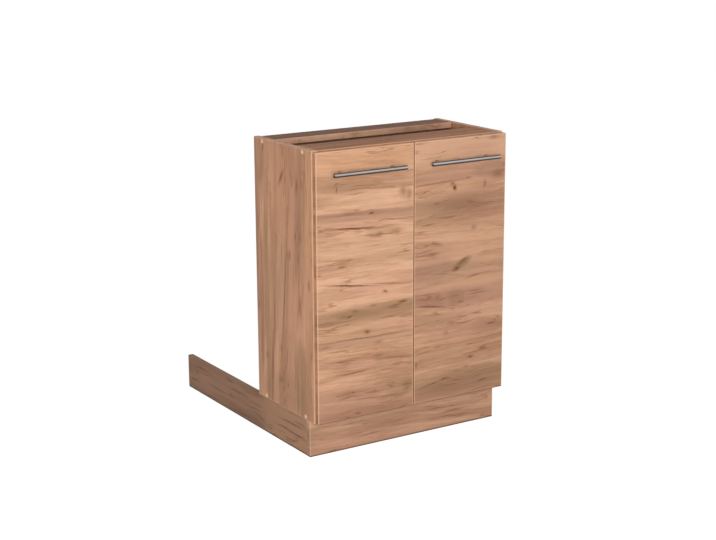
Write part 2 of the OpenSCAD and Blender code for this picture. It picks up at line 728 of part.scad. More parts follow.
module hinge_cup_pins_left() { color("Gray") place() hinge_cup_pins(); }
module hinge_cup_pins_right() { color("Gray") place() mirror([1, 0, 0]) hinge_cup_pins(); }
module cup_screws_left() { color("Silver") place() cup_screws(); }
module cup_screws_right() { color("Silver") place() mirror([1, 0, 0]) cup_screws(); }
module long_links_left() { color("Silver") place() long_links(); }
module long_links_right() { color("Silver") place() mirror([1, 0, 0]) long_links(); }
module short_links_left() { color("Silver") place() short_links(); }
module short_links_right() { color("Silver") place() mirror([1, 0, 0]) short_links(); }
module hinge_arms() { color("Silver") place() both() one_arm(); }
module hinge_arm_pins() { color("Gray") place() both() one_arm_pins(); }
module hinge_plates() { color("Silver") place() both() one_plate(); }
module hinge_plate_screws() { color("Gray") place() both() one_plate_screws(); }

side_panel_left();
side_panel_right();
bottom_panel();
top_rail_front();
top_rail_rear();
back_panel();
shelf();
shelf_pins();
dowels();
carcass_screws();
screw_caps();
hinge_plates();
hinge_arms();
hinge_arm_pins();
hinge_plate_screws();
front_plinth();
side_plinth();
plinth_corner_bracket();
plinth_screws();
plinth_clips();
leg_flanges();
leg_tubes();
leg_screws();
foot_front_left();
foot_front_right();
foot_rear_left();
foot_rear_right();
door_left();
hinge_cups_left();
hinge_cup_pins_left();
cup_screws_left();
long_links_left();
short_links_left();
handle_bar_left();
handle_posts_left();
handle_screws_left();
door_bumpers_left();
door_right();
hinge_cups_right();
hinge_cup_pins_right();
cup_screws_right();
long_links_right();
short_links_right();
handle_bar_right();
handle_posts_right();
handle_screws_right();
door_bumpers_right();
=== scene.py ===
import math

import bpy
from mathutils import Matrix, Vector


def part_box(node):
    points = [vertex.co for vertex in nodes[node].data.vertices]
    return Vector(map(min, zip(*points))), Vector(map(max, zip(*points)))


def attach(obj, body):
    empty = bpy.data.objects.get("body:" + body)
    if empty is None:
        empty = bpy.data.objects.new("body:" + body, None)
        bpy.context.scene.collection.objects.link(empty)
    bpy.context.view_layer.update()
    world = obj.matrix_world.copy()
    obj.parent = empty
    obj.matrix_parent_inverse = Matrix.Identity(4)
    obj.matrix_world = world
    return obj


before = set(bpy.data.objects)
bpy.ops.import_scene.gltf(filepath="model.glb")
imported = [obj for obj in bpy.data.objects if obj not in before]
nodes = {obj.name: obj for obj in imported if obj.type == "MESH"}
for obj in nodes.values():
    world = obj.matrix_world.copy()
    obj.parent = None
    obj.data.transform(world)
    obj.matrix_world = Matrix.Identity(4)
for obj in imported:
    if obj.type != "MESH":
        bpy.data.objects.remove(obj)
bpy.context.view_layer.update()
print("cabinet loaded,", len(nodes), "pieces")

scene = bpy.context.scene
scene.view_settings.view_transform = "Standard"


# one socket of a shader, so that its maths reads as plain Python
class Value:
    def __init__(self, finish, socket):
        self.finish = finish
        self.socket = socket

    def calc(self, operation, *parts):
        made = self.finish.node("ShaderNodeMath", {"operation": operation}, dict(enumerate(parts)))
        return Value(self.finish, made.outputs[0])

    def __add__(self, other):
        return self.calc("ADD", self, other)

    def __radd__(self, other):
        return self.calc("ADD", other, self)

    def __sub__(self, other):
        return self.calc("SUBTRACT", self, other)

    def __rsub__(self, other):
        return self.calc("SUBTRACT", other, self)

    def __mul__(self, other):
        return self.calc("MULTIPLY", self, other)

    def __rmul__(self, other):
        return self.calc("MULTIPLY", other, self)

    def stretch(self, factor, shift):
        return self.calc("MULTIPLY_ADD", self, factor, shift)

    def size(self):
        return self.calc("ABSOLUTE", self)

    def wave(self):
        return self.calc("SINE", self)

    def angle(self, other):
        return self.calc("ARCTAN2", self, other)

    def lower(self, other):
        return self.calc("MINIMUM", self, other)

    def upper(self, other):
        return self.calc("MAXIMUM", self, other)

    def bell(self):  # 1 at nothing, falling off smoothly
        return self.calc("EXPONENT", self * -1.0)

    def rise(self, start, end):  # 0 before the start, 1 past the end
        limits = {"Value": self, "From Min": start, "From Max": end}
        made = self.finish.node("ShaderNodeMapRange", {"interpolation_type": "SMOOTHSTEP"}, limits)
        return Value(self.finish, made.outputs[0])


# a material that is put together from nodes
class Finish:
    sockets = {"color": "Base Color", "rough": "Roughness", "metal": "Metallic",
               "normal": "Normal", "gloss": "Specular IOR Level"}

    def __init__(self, name):
        self.material = bpy.data.materials.new(name)
        self.material.use_nodes = True
        self.tree = self.material.node_tree
        self.tree.nodes.clear()
        spot = self.node("ShaderNodeTexCoord").outputs["Object"]
        axes = self.node("ShaderNodeSeparateXYZ", None, {0: spot}).outputs
        self.place = [Value(self, axes[i]) for i in range(3)]

    def node(self, kind, settings=None, values=None):
        made = self.tree.nodes.new(kind)
        for key, value in (settings or {}).items():
            if key == "stops":
                stops = made.color_ramp.elements
                for i, (at, colour) in enumerate(value):
                    stop = stops[i] if i < len(stops) else stops.new(at)
                    stop.position = at
                    stop.color = (*colour, 1)
            else:
                setattr(made, key, value)
        for key, value in (values or {}).items():
            if isinstance(value, Value):
                value = value.socket
            if isinstance(value, bpy.types.NodeSocket):
                self.tree.links.new(value, made.inputs[key])
            elif made.inputs[key].type == "RGBA":
                made.inputs[key].default_value = (*value, 1)
            else:
                made.inputs[key].default_value = value
        return made

    def noise(self, x, y, z, detail=2.0, roughness=0.5):
        spot = self.node("ShaderNodeCombineXYZ", None, {0: x, 1: y, 2: z}).outputs[0]
        made = self.node("ShaderNodeTexNoise", None, {
            "Vector": spot, "Scale": 1.0, "Detail": detail, "Roughness": roughness})
        return Value(self, made.outputs["Fac"])

    def grain(self, scale, detail=2.0, roughness=0.5):
        x, y, z = [axis * factor for axis, factor in zip(self.place, scale)]
        return self.noise(x, y, z, detail, roughness)

    def ramp(self, share, stops):
        return self.node("ShaderNodeValToRGB", {"stops": stops}, {0: share}).outputs[0]

    def mix(self, share, a, b, way="MIX"):
        settings = {"data_type": "RGBA", "blend_type": way}
        return self.node("ShaderNodeMix", settings, {0: share, 6: a, 7: b}).outputs[2]

    def tint(self, colour, tone):
        return self.mix(1.0, colour, tone, "MULTIPLY")

    def darken(self, colour, dark, noise, part):
        # lets the dark colour come up where the noise is strong
        return self.mix(noise.rise(*part["from"]) * part["share"], colour, dark)

    def bump(self, height, strength, distance):
        values = {"Height": height, "Strength": strength, "Distance": distance}
        return self.node("ShaderNodeBump", None, values).outputs[0]

    def shader(self, **values):
        values = {self.sockets[key]: value for key, value in values.items()}
        made = self.node("ShaderNodeBsdfPrincipled", None, values)
        self.node("ShaderNodeOutputMaterial", None, {0: made.outputs[0]})
        return self.material


def setFinish(name, material):
    mesh = nodes[name].data
    mesh.materials.clear()
    mesh.materials.append(material)


# the oak's colours: four from dark to pale, then those of its zones and lines, and the painted
# highlight and painted shade of its edges
oak = {
    "deep": (0.385, 0.195, 0.112),
    "brown": (0.480, 0.258, 0.152),
    "tan": (0.580, 0.322, 0.196),
    "pale": (0.735, 0.425, 0.270),
    "green": (0.490, 0.305, 0.165),
    "pink": (0.650, 0.340, 0.230),
    "orange": (0.690, 0.375, 0.215),
    "mauve": (0.400, 0.220, 0.142),
    "olive": (0.350, 0.208, 0.110),
    "grey": (0.365, 0.228, 0.155),
    "red": (0.400, 0.185, 0.128),
    "streak": (0.305, 0.125, 0.062),
    "crack": (0.165, 0.055, 0.022),
    # painted highlight along the arrises
    "arris": (0.800, 0.480, 0.305),
    # painted shade: the thin dark line along the lower edges of the doors and plinth boards
    "lip": (0.090, 0.058, 0.042),       # the thin dark line along a lower edge
    # painted shade on the doors' edges in the gap between them
    "gap": (0.215, 0.062, 0.014),       # the doors' edges in the gap between them
    "rough": 0.52,
    "gloss": 0.18,
    "bump": (0.22, 0.0004),
}

# The layers of the pattern: scale along, across and through the grain, shift along the grain,
# then the noise's detail and roughness.
layers = {
    "bendAlong": (30.0, 60.0, 20.0, 0.0, 2.0, 0.5),
    "bendAcross": (24.0, 50.0, 20.0, 4.0, 2.0, 0.5),
    "bendFine": (95.0, 260.0, 60.0, 0.0, 2.0, 0.5),
    "swayWide": (1.6, 3.0, 1.0, 0.0, 2.0, 0.5),
    "swayFine": (6.0, 16.0, 3.0, 0.0, 2.0, 0.5),
    "wide": (1.7, 13.0, 3.0, 0.0, 2.0, 0.5),
    "middle": (3.4, 38.0, 9.0, 7.0, 3.0, 0.55),
    "narrow": (9.0, 150.0, 25.0, 0.0, 3.0, 0.6),
    "fibre": (34.0, 620.0, 90.0, 0.0, 2.0, 0.5),
    "hue": (2.4, 15.0, 5.0, 11.0, 3.0, 0.5),
    "edgeBreaks": (5.0, 22.0, 6.0, 2.0, 2.0, 0.5),
    "lineBreaks": (6.0, 20.0, 6.0, 8.0, 2.0, 0.5),
    "pores": (46.0, 360.0, 60.0, 2.0, 2.0, 0.5),
}

# how far, in metres, a layer pushes the pattern aside
pushes = {"bendAlong": 0.010, "bendAcross": 0.0065, "bendFine": 0.0022,
          "swayWide": 0.034, "swayFine": 0.010}

# how the layers add up; a pair gives the values between which something comes up
pattern = {
    "broad": (0.40, 0.60),
    "shares": {"wide": 0.13, "middle": 0.16, "narrow": 0.44, "fibre": 0.28, "all": 0.05},
    "bands": ((0.30, "deep"), (0.43, "brown"), (0.56, "tan"), (0.74, "pale")),
    "hues": {"green": (0.53, 0.66), "pink": (0.47, 0.34)},
    "hueShare": 0.38,
    "zone": {"rim": (1.5, 0.35), "ragged": 0.9, "narrow": 2.0, "fibre": 0.8, "less": 0.40},
    "edgeLine": {"at": 0.5, "width": (0.024, 0.004), "breaks": (0.50, 0.60), "share": 0.60},
    "bandLine": {"at": 0.42, "width": (0.018, 0.003), "breaks": (0.53, 0.62), "share": 0.70},
    "pores": {"from": (0.64, 0.76), "share": 0.40},
    "mark": {"thin": 3, "widened": 1.7, "narrow": 1.5, "all": 0.25, "strength": 1.3},
    "knot": {"strength": 0.6, "longest": 20, "reach": 0.12, "bend": 0.6},
    "rough": {"narrow": 0.20, "bandLine": 0.15},
    "height": {"fibre": 0.5, "narrow": 0.4, "bandLine": 1.5, "pores": 0.6, "mark": 0.8},
}

# the painted highlight and painted shade along the boards' edges, in metres from the arris or the face
edges = {
    "arris": {"width": (0.00253, 0.00165), "share": 0.70},
    "front": (0.0010, 0.0004),
    "gap": {"face": (0.0009, 0.0005), "behind": (0.0012, 0.0022), "dull": (0.0060, 0.0030),
            "share": 0.82, "redder": (0.93, 0.80, 0.70)},
    "foot": {"soft": 0.6, "share": 0.85},
}

# For each board: the order of its axes (along, across and through the grain), where its pattern
# starts, how far the grain leans, its tone, and the strength of the painted highlight on its arrises.
# A door has the side that faces the other door, and how far the highlight is dulled there. Some boards
# have the height of a painted shade line along their foot, a painted light on their front edge, or a
# gloss of their own.
# Each mark: place along and across, half length and half width in mm, lean, strength.
# Each zone is a broad patch of another tone, given the same way with its colour's name.
boards = {
    "door_left": {
        "axes": "xzy", "gapSide": 1, "gapDull": 0.0, "foot": 0.0018, "start": (0.37, 0.11, 0.2),
        "lean": 0.03, "tone": (0.97, 0.97, 0.96), "arrisHighlight": 1.0,
        "zones": [
            (-0.15, 0.8, 300, 45, 0, 0.6, "orange"), (-0.2, 0.722, 95, 15, 0, 0.45, "olive"),
            (-0.15, 0.715, 300, 12, 0, 0.25, "mauve"), (-0.03, 0.69, 24, 20, 0, 0.3, "mauve"),
            (-0.15, 0.643, 320, 13, -0.03, 0.62, "mauve"),
            (-0.275, 0.605, 38, 15, 0, 0.4, "mauve"), (-0.15, 0.56, 320, 25, 0, 0.45, "pale"),
            (-0.095, 0.596, 55, 12, 0, 0.4, "olive"), (-0.15, 0.49, 320, 18, 0, 0.25, "pale"),
            (-0.15, 0.383, 320, 22, 0, 0.62, "olive"), (-0.075, 0.345, 95, 12, 0, 0.6, "pink"),
            (-0.215, 0.345, 60, 10, 0, 0.35, "pale"), (-0.15, 0.308, 320, 9, -0.02, 0.4, "mauve"),
            (-0.16, 0.282, 150, 9, 0, 0.3, "orange"), (-0.165, 0.245, 46, 12, 0, 0.5, "pink"),
            (-0.22, 0.205, 90, 13, 0, 0.4, "pale"), (-0.2, 0.168, 150, 15, -0.03, 0.5, "mauve"),
            (-0.025, 0.155, 65, 25, 0, 0.55, "olive"), (-0.15, 0.116, 320, 17, 0, 0.55, "mauve"),
            (-0.179, 0.14, 130, 10, -0.024, 0.6, "mauve"),
            (-0.066, 0.142, 52, 10, 0.08, 0.55, "olive"),
        ],
        "marks": [
            (-0.091, 0.146, 52, 1.6, -0.116, 0.4), (-0.21, 0.162, 28, 2.0, 0.14, 0.35),
            (-0.191, 0.612, 72, 1.2, -0.076, 0.85), (-0.2035, 0.4635, 62, 1.4, -0.125, 0.9),
            (-0.0835, 0.453, 50, 1.1, -0.13, 0.5), (-0.1345, 0.646, 9, 3.0, -0.02, 0.9),
            (-0.195, 0.648, 55, 1.3, -0.03, 0.4), (-0.176, 0.658, 10, 1.4, 0, 0.45),
            (-0.15, 0.65, 210, 7.0, -0.03, 0.22), (-0.2385, 0.717, 2.6, 7.0, 0, 0.6),
            (-0.1785, 0.703, 26, 1.2, 0, 0.45), (-0.034, 0.694, 9, 12.0, 0, 0.34),
            (-0.016, 0.684, 8, 12.0, 0, 0.34), (-0.1085, 0.5895, 11, 5.0, 0, 0.42),
            (-0.0535, 0.592, 26, 7.0, 0, 0.28), (-0.286, 0.617, 9, 4.0, 0, 0.35),
            (-0.2235, 0.5145, 13, 3.4, 0, 0.5), (-0.24, 0.534, 60, 1.0, -0.07, 0.3),
            (-0.091, 0.433, 7, 3.6, -0.1, 0.7), (-0.2035, 0.3795, 12, 3.0, 0.2, 0.7),
            (-0.222, 0.381, 32, 7.0, 0, 0.35), (-0.183, 0.3905, 15, 5.0, 0, 0.4),
            (-0.1285, 0.3995, 12, 4.0, 0, 0.35), (-0.036, 0.398, 14, 3.6, 0.1, 0.75),
            (-0.0565, 0.391, 28, 2.6, 0.12, 0.5), (-0.0635, 0.3845, 32, 3.0, -0.1, 0.5),
            (-0.15, 0.383, 220, 15.0, 0, 0.2), (-0.1485, 0.332, 9, 4.6, -0.1, 0.65),
            (-0.15, 0.3165, 230, 1.5, -0.02, 0.42), (-0.1135, 0.297, 13, 5.0, 0, 0.35),
            (-0.2785, 0.307, 24, 5.0, 0, 0.3), (-0.225, 0.2635, 80, 1.8, 0, 0.3),
            (-0.1135, 0.262, 15, 6.0, 0, 0.3), (-0.0585, 0.248, 62, 2.2, -0.11, 0.38),
            (-0.195, 0.2265, 48, 1.5, 0.02, 0.6), (-0.211, 0.172, 32, 7.0, 0, 0.34),
            (-0.1935, 0.173, 8, 4.0, 0, 0.5), (-0.2385, 0.1695, 8, 3.0, 0, 0.4),
            (-0.141, 0.1485, 100, 1.5, -0.065, 0.45), (-0.176, 0.113, 12, 4.0, -0.1, 0.65),
            (-0.021, 0.162, 15, 17.0, 0, 0.32), (-0.15, 0.108, 260, 22.0, 0, 0.22),
        ],
    },
    "door_right": {
        "axes": "xzy", "gapSide": -1, "gapDull": 0.25, "foot": 0.0018, "start": (2.9, 1.73, 0.7),
        "lean": -0.01, "tone": (0.85, 0.84, 0.83), "arrisHighlight": 1.0,
        "zones": [
            (0.15, 0.792, 300, 44, 0, 1.2, "pale"), (0.2, 0.79, 70, 8, 0, 0.4, "pink"),
            (0.15, 0.722, 300, 13, 0, 0.22, "mauve"), (0.25, 0.722, 60, 22, 0, 0.4, "mauve"),
            (0.1, 0.687, 120, 15, 0, 0.35, "orange"), (0.2, 0.642, 170, 26, 0, 0.32, "mauve"),
            (0.06, 0.64, 120, 22, 0, 0.25, "mauve"), (0.15, 0.45, 320, 34, 0, 0.28, "mauve"),
            (0.06, 0.57, 120, 25, 0, 0.45, "pale"), (0.235, 0.52, 120, 52, 0, 0.3, "orange"),
            (0.05, 0.47, 90, 35, 0, 0.4, "mauve"), (0.21, 0.425, 120, 13, 0.03, 0.35, "orange"),
            (0.15, 0.385, 320, 26, 0, 0.4, "mauve"), (0.137, 0.383, 30, 26, 0, 0.42, "olive"),
            (0.155, 0.4743, 34, 13, 0.458, 0.6, "olive"),
            (0.055, 0.378, 48, 13, -0.1, 0.45, "red"), (0.06, 0.335, 140, 13, 0, 0.35, "olive"),
            (0.2, 0.335, 110, 19, 0, 0.35, "pink"), (0.1, 0.262, 150, 22, 0, 0.3, "orange"),
            (0.25, 0.29, 60, 18, 0, 0.28, "mauve"), (0.2, 0.15, 200, 32, 0, 0.55, "olive"),
            (0.08, 0.125, 200, 24, 0, 0.4, "mauve"),
        ],
        "marks": [
            (0.1305, 0.686, 6, 8.5, 0, 0.8), (0.1215, 0.697, 7, 7.0, 0, 0.5),
            (0.229, 0.686, 5, 11.0, 0, 0.38), (0.274, 0.7095, 24, 12.0, 0, 0.45),
            (0.085, 0.703, 90, 1.4, 0.035, 0.4), (0.1765, 0.708, 10, 3.0, 0, 0.4),
            (0.155, 0.635, 90, 26.0, 0, 0.22), (0.144, 0.627, 13, 6.0, 0, 0.3),
            (0.1065, 0.607, 27, 1.4, 0, 0.45), (0.0465, 0.593, 27, 1.6, 0, 0.4),
            (0.194, 0.5695, 8, 6.0, 0, 0.35), (0.0715, 0.537, 16, 6.0, 0, 0.28),
            (0.064, 0.513, 15, 4.0, 0, 0.45), (0.139, 0.465, 11, 6.0, 0.3, 0.58),
            (0.1635, 0.4845, 13, 5.5, 0.35, 0.52), (0.151, 0.475, 12, 7.0, 0.5, 0.3),
            (0.2, 0.436, 28, 1.4, 0.14, 0.5), (0.099, 0.452, 52, 1.2, -0.16, 0.3),
            (0.049, 0.3945, 10, 6.0, 0, 0.42), (0.0765, 0.391, 12, 8.0, 0, 0.36),
            (0.053, 0.3691, 42, 1.8, -0.132, 0.6), (0.035, 0.3909, 30, 1.5, -0.09, 0.4),
            (0.091, 0.385, 17, 2.0, 0.06, 0.4), (0.026, 0.3745, 26, 1.3, 0, 0.4),
            (0.208, 0.387, 42, 1.6, 0, 0.45), (0.204, 0.3937, 29, 1.4, -0.03, 0.35),
            (0.1365, 0.388, 16, 3.0, 0, 0.35), (0.1515, 0.3695, 16, 5.0, 0, 0.3),
            (0.15, 0.378, 90, 16.0, 0, 0.16), (0.1065, 0.288, 8, 6.0, 0, 0.3),
            (0.2565, 0.293, 16, 3.0, 0, 0.5), (0.189, 0.208, 10, 4.6, 0, 0.5),
            (0.2265, 0.226, 12, 4.0, 0, 0.45), (0.0075, 0.212, 4, 8.0, 0, 0.4),
            (0.1015, 0.1595, 13, 3.0, 0.15, 0.6), (0.058, 0.151, 60, 1.4, 0.165, 0.42),
            (0.2265, 0.132, 22, 4.0, 0.2, 0.4), (0.15, 0.128, 240, 26.0, 0, 0.2),
            (0.259, 0.811, 18, 5.0, 0, 0.45),
        ],
    },
    "side_panel_left": {
        "axes": "zyx", "start": (5.2, 0.47, 0.1), "lean": 0.05, "tone": (1.08, 1.01, 0.95),
        "arrisHighlight": 0.9,
        "zones": [
            (0.6, -0.325, 240, 14, 0, 0.5, "orange"), (0.7, -0.276, 110, 18, 0, 0.4, "mauve"),
            (0.56, -0.277, 110, 24, 0, 0.45, "mauve"), (0.58, -0.235, 80, 14, 0, 0.5, "pink"),
            (0.68, -0.18, 130, 50, 0, 0.3, "orange"), (0.5, -0.16, 160, 30, 0, 0.25, "mauve"),
            (0.36, -0.105, 270, 14, 0, 0.6, "olive"), (0.36, -0.075, 190, 11, 0, 0.55, "red"),
            (0.45, -0.055, 420, 8, 0, 0.5, "grey"), (0.36, -0.235, 130, 16, 0, 0.4, "pink"),
            (0.2, -0.28, 110, 35, 0, 0.6, "olive"), (0.14, -0.2, 60, 120, 0, 0.3, "olive"),
            (0.76, -0.07, 70, 22, 0, 0.4, "olive"),
        ],
        "marks": [
            (0.731, -0.1915, 20, 7.0, -0.6, 0.55), (0.72, -0.2725, 22, 6.0, 0, 0.42),
            (0.7275, -0.2975, 15, 6.0, 0, 0.33), (0.585, -0.2615, 13, 3.0, 0, 0.5),
            (0.585, -0.285, 16, 7.0, 0, 0.28), (0.53, -0.23, 12, 4.0, 0, 0.5),
            (0.53, -0.275, 15, 5.0, 0, 0.32), (0.42, -0.2, 160, 2.4, -0.108, 0.5),
            (0.405, -0.28, 28, 5.5, 0, 0.45), (0.4675, -0.3275, 14, 6.0, 0, 0.38),
            (0.335, -0.144, 80, 2.2, -0.03, 0.42), (0.2, -0.1295, 95, 2.6, -0.05, 0.6),
            (0.19, -0.265, 55, 2.6, 0, 0.36), (0.265, -0.18, 10, 7.0, 0, 0.4),
            (0.1775, -0.175, 10, 9.0, 0, 0.3), (0.2275, -0.1025, 10, 8.0, 0, 0.33),
            (0.53, -0.0755, 45, 4.0, 0, 0.4), (0.25, -0.07, 200, 10.0, 0, 0.22),
        ],
    },
    "side_panel_right": {
        "axes": "zyx", "start": (1.1, 2.83, 0.4), "lean": 0.03, "tone": (1.08, 1.01, 0.95),
        "arrisHighlight": 0.9,
        "marks": [
            (0.52, -0.21, 12, 5.0, 0, 0.7), (0.33, -0.14, 90, 2.0, 0.05, 0.45),
            (0.68, -0.26, 60, 1.8, -0.04, 0.5),
        ],
    },
    "top_rail_front": {
        # painted shade: the darker tone stands for the little light on the lying rail
        "axes": "xyz", "start": (4.1, 3.9, 0.3), "lean": 0.02, "tone": (0.79, 0.6, 0.44),
        "gloss": 0.05, "arrisHighlight": 0.9,
        "marks": [
            (-0.05, -0.3, 90, 2.0, 0.02, 0.6), (-0.16, -0.325, 110, 5.0, 0.01, 0.45),
            (0.13, -0.285, 120, 5.0, 0.02, 0.45), (0.03, -0.265, 160, 4.0, -0.01, 0.5),
            (0.17, -0.33, 70, 3.5, 0.03, 0.5), (-0.19, -0.272, 70, 3.0, 0.02, 0.5),
        ],
    },
    "top_rail_rear": {
        # painted shade: the dark tone on the lying face; the front edge gets painted light
        "axes": "xyz", "start": (7.7, 1.2, 0.9), "lean": 0.02, "tone": (0.38, 0.285, 0.215),
        "paintedFrontLight": (2.95, 4.0, 5.6), "gloss": 0.05, "arrisHighlight": 0.5,
        "marks": [
            (0.08, -0.09, 80, 2.0, 0.02, 0.6), (-0.12, -0.075, 120, 5.0, 0.01, 0.5),
            (0.02, -0.115, 150, 5.0, 0.0, 0.45), (0.18, -0.13, 90, 4.0, 0.02, 0.5),
            (-0.2, -0.125, 60, 3.0, 0.02, 0.5),
        ],
    },
    "bottom_panel": {
        "axes": "xyz", "start": (0.9, 6.1, 0.2), "lean": 0.02, "tone": (0.9, 0.89, 0.89),
        "arrisHighlight": 0.9,
        "marks": [
            (0.05, -0.2, 60, 2.0, 0.02, 0.5),
        ],
    },
    "shelf": {
        "axes": "xyz", "start": (3.3, 4.4, 0.6), "lean": 0.02, "tone": (0.9, 0.89, 0.89),
        "arrisHighlight": 0.9,
        "marks": [
            (-0.08, -0.18, 70, 2.0, 0.02, 0.5), (0.12, -0.1, 8, 4.0, 0, 0.6),
        ],
    },
    "front_plinth": {
        # painted shade: the darker tone stands for the shade under the doors
        "axes": "xzy", "foot": 0.0052, "start": (6.6, 5.31, 0.5), "lean": 0.04,
        "tone": (0.84, 0.86, 0.87), "arrisHighlight": 0.6,
        "marks": [
            (0.16, 0.045, 40, 1.6, 0.05, 0.5), (-0.11, 0.03, 50, 1.5, 0.03, 0.4),
        ],
    },
    "side_plinth": {
        # painted shade: the darker tone stands for the shade the side plinth lies in
        "axes": "yzx", "foot": 0.006, "start": (8.8, 2.2, 0.8), "lean": 0.02,
        "tone": (0.6, 0.55, 0.485), "arrisHighlight": 0.0,
        "zones": [
            # painted light: the pale zone at the front end and the mauve one further back make it
            # lighter in front, darker behind
            (-0.24, 0.05, 170, 90, 0, 1.3, "pale"), (0.17, 0.05, 260, 90, 0, 0.36, "mauve"),
            (0.047, 0.012, 110, 14, 0, 0.5, "red"), (0.004, 0.095, 80, 12, 0, 0.5, "olive"),
            (0.3, 0.05, 70, 16, 0, 0.4, "orange"), (-0.08, 0.075, 90, 12, 0, 0.35, "orange"),
        ],
        "marks": [
            (-0.229, 0.066, 63, 1.6, -0.035, 0.55), (-0.251, 0.041, 46, 1.6, 0, 0.55),
            (-0.185, 0.044, 40, 1.4, 0, 0.5), (-0.27, 0.077, 28, 1.4, -0.03, 0.45),
            (-0.057, 0.031, 24, 4.0, 0.2, 0.45), (-0.02, 0.049, 53, 1.6, -0.06, 0.4),
            (0.087, 0.07, 55, 1.6, -0.02, 0.5), (0.127, 0.09, 18, 3.0, 0.07, 0.5),
            (0.31, 0.079, 30, 1.6, -0.06, 0.5), (0.356, 0.033, 31, 2.0, -0.07, 0.55),
            (0.213, 0.044, 58, 1.6, 0, 0.4), (0.047, 0.012, 87, 3.0, -0.04, 0.4),
        ],
    },
}


def oakBoard(name, look):
    wood = Finish("oak_" + name)
    along, across, through = [wood.place["xyz".index(axis)] for axis in look["axes"]]

    def layer(key, u, v, w):
        a, b, c, shift, detail, roughness = layers[key]
        return wood.noise(u * a + shift, v * b, w * c, detail, roughness)

    def push(key, u, v, w):
        return (layer(key, u, v, w) - 0.5) * pushes[key]

    def patch(u, v, length, width, lean):
        # how far a point lies from a mark's middle, 1 at its rim
        du = bentAlong.stretch(1000 / length, -u * 1000 / length)
        dv = bentAcross.stretch(1000 / width, -v * 1000 / width)
        if lean:
            dv = du.stretch(-lean * length / width, dv)
        return du.stretch(du, dv * dv)

    # wobble, so that no mark is a clean oval
    spot = (along, across, through)
    bentAlong = along + push("bendAlong", *spot)
    bentAcross = across + push("bendAcross", *spot) + push("bendFine", *spot)

    mark, knot = pattern["mark"], pattern["knot"]
    marked = None
    turned = across
    for u, v, length, width, lean, strength in look["marks"]:
        drawn = width * mark["widened"] if width < mark["thin"] else width
        reach = patch(u, v, length, drawn, lean)
        if strength >= knot["strength"] and length < knot["longest"]:
            # the grain bends round a knot
            turned = turned - (across - v) * (reach * knot["reach"]).bell() * knot["bend"]
        share = reach.bell() * strength
        marked = share if marked is None else marked.upper(share)

    u = along + look["start"][0]
    v = turned + look["start"][1] + along * look["lean"]
    w = through + look["start"][2]
    v = v + push("swayWide", u, v, w) + push("swayFine", u, v, w)
    wide, middle, narrow, fibre, hue, edgeBreaks, lineBreaks, pores = [layer(key, u, v, w) for key in (
        "wide", "middle", "narrow", "fibre", "hue", "edgeBreaks", "lineBreaks", "pores")]

    broad, shares, zone = pattern["broad"], pattern["shares"], pattern["zone"]
    tone = (wide.rise(*broad) * shares["wide"] + middle.rise(*broad) * shares["middle"]
            + narrow * shares["narrow"] + fibre * shares["fibre"] + shares["all"])
    colour = wood.ramp(tone, [(at, oak[kind]) for at, kind in pattern["bands"]])
    for kind, limits in pattern["hues"].items():
        colour = wood.mix(hue.rise(*limits) * pattern["hueShare"], colour, oak[kind])

    ragged = (middle - 0.5) * zone["ragged"]
    grained = (narrow * zone["narrow"] + fibre * zone["fibre"] - zone["less"]).upper(0.0)
    for u0, v0, length, width, lean, strength, kind in look.get("zones", []):
        share = (patch(u0, v0, length, width, lean) + ragged).rise(*zone["rim"]) * grained
        colour = wood.mix((share * strength).lower(1.0), colour, oak[kind])

    def thinLine(key, breaks):
        line = pattern[key]
        return (middle - line["at"]).size().rise(*line["width"]) * breaks.rise(*line["breaks"])

    # thin lines along the edges of the darker bands, and short dark pores
    edgeLine = thinLine("edgeLine", edgeBreaks)
    bandLine = thinLine("bandLine", lineBreaks)
    pores = pores.rise(*pattern["pores"]["from"])
    for key, line in (("edgeLine", edgeLine), ("bandLine", bandLine), ("pores", pores)):
        colour = wood.mix(line * pattern[key]["share"], colour, oak["streak"])
    marked = (marked * (narrow * mark["narrow"] + mark["all"]) * mark["strength"]).lower(1.0)
    colour = wood.tint(wood.mix(marked, colour, oak["crack"]), look["tone"])
    colour = oakEdgeLightAndShade(wood, colour, name, look)

    rough, relief = pattern["rough"], pattern["height"]
    rough = oak["rough"] + (narrow - 0.5) * rough["narrow"] + bandLine * rough["bandLine"]
    height = (fibre * relief["fibre"] + narrow * relief["narrow"] - bandLine * relief["bandLine"]
              - pores * relief["pores"] - marked * relief["mark"])
    return wood.shader(color=colour, rough=rough, normal=wood.bump(height, *oak["bump"]),
                       gloss=look.get("gloss", oak["gloss"]))


